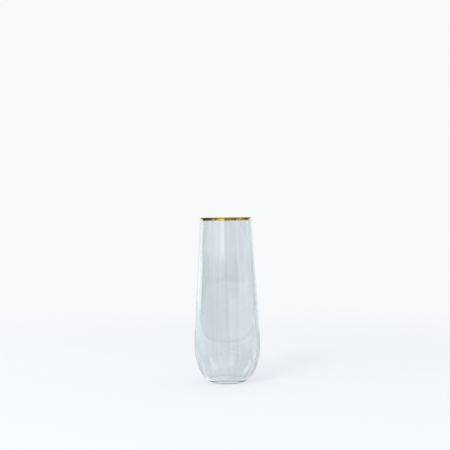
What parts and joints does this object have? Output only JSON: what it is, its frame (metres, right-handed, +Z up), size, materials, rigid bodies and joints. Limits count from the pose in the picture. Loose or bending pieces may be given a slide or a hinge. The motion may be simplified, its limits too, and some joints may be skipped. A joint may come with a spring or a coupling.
{
  "type": "stemless champagne glass",
  "caption": "Tall stemless flute of clear tinted glass: a rounded belly on a small flat base, a thin straight tapering wall and a gold band fired over the round lip.",
  "frame": {"origin": "centre of the base, on the plane that the glass stands on", "axes": "+Z up along the axis of the glass, towards its mouth; the glass is round, so X and Y are free, and -Y faces the picture's camera"},
  "size_m": [0.06, 0.06, 0.1501],
  "materials": {
    "tinted_glass": "clear pale blue-grey glass, fire-polished and smooth",
    "fired_gold": "bright polished gold, fired on and hand banded"
  },
  "bodies": {
    "root": {"glass_bowl": "tinted_glass", "gold_rim_band": "fired_gold"}
  },
  "joints": []
}
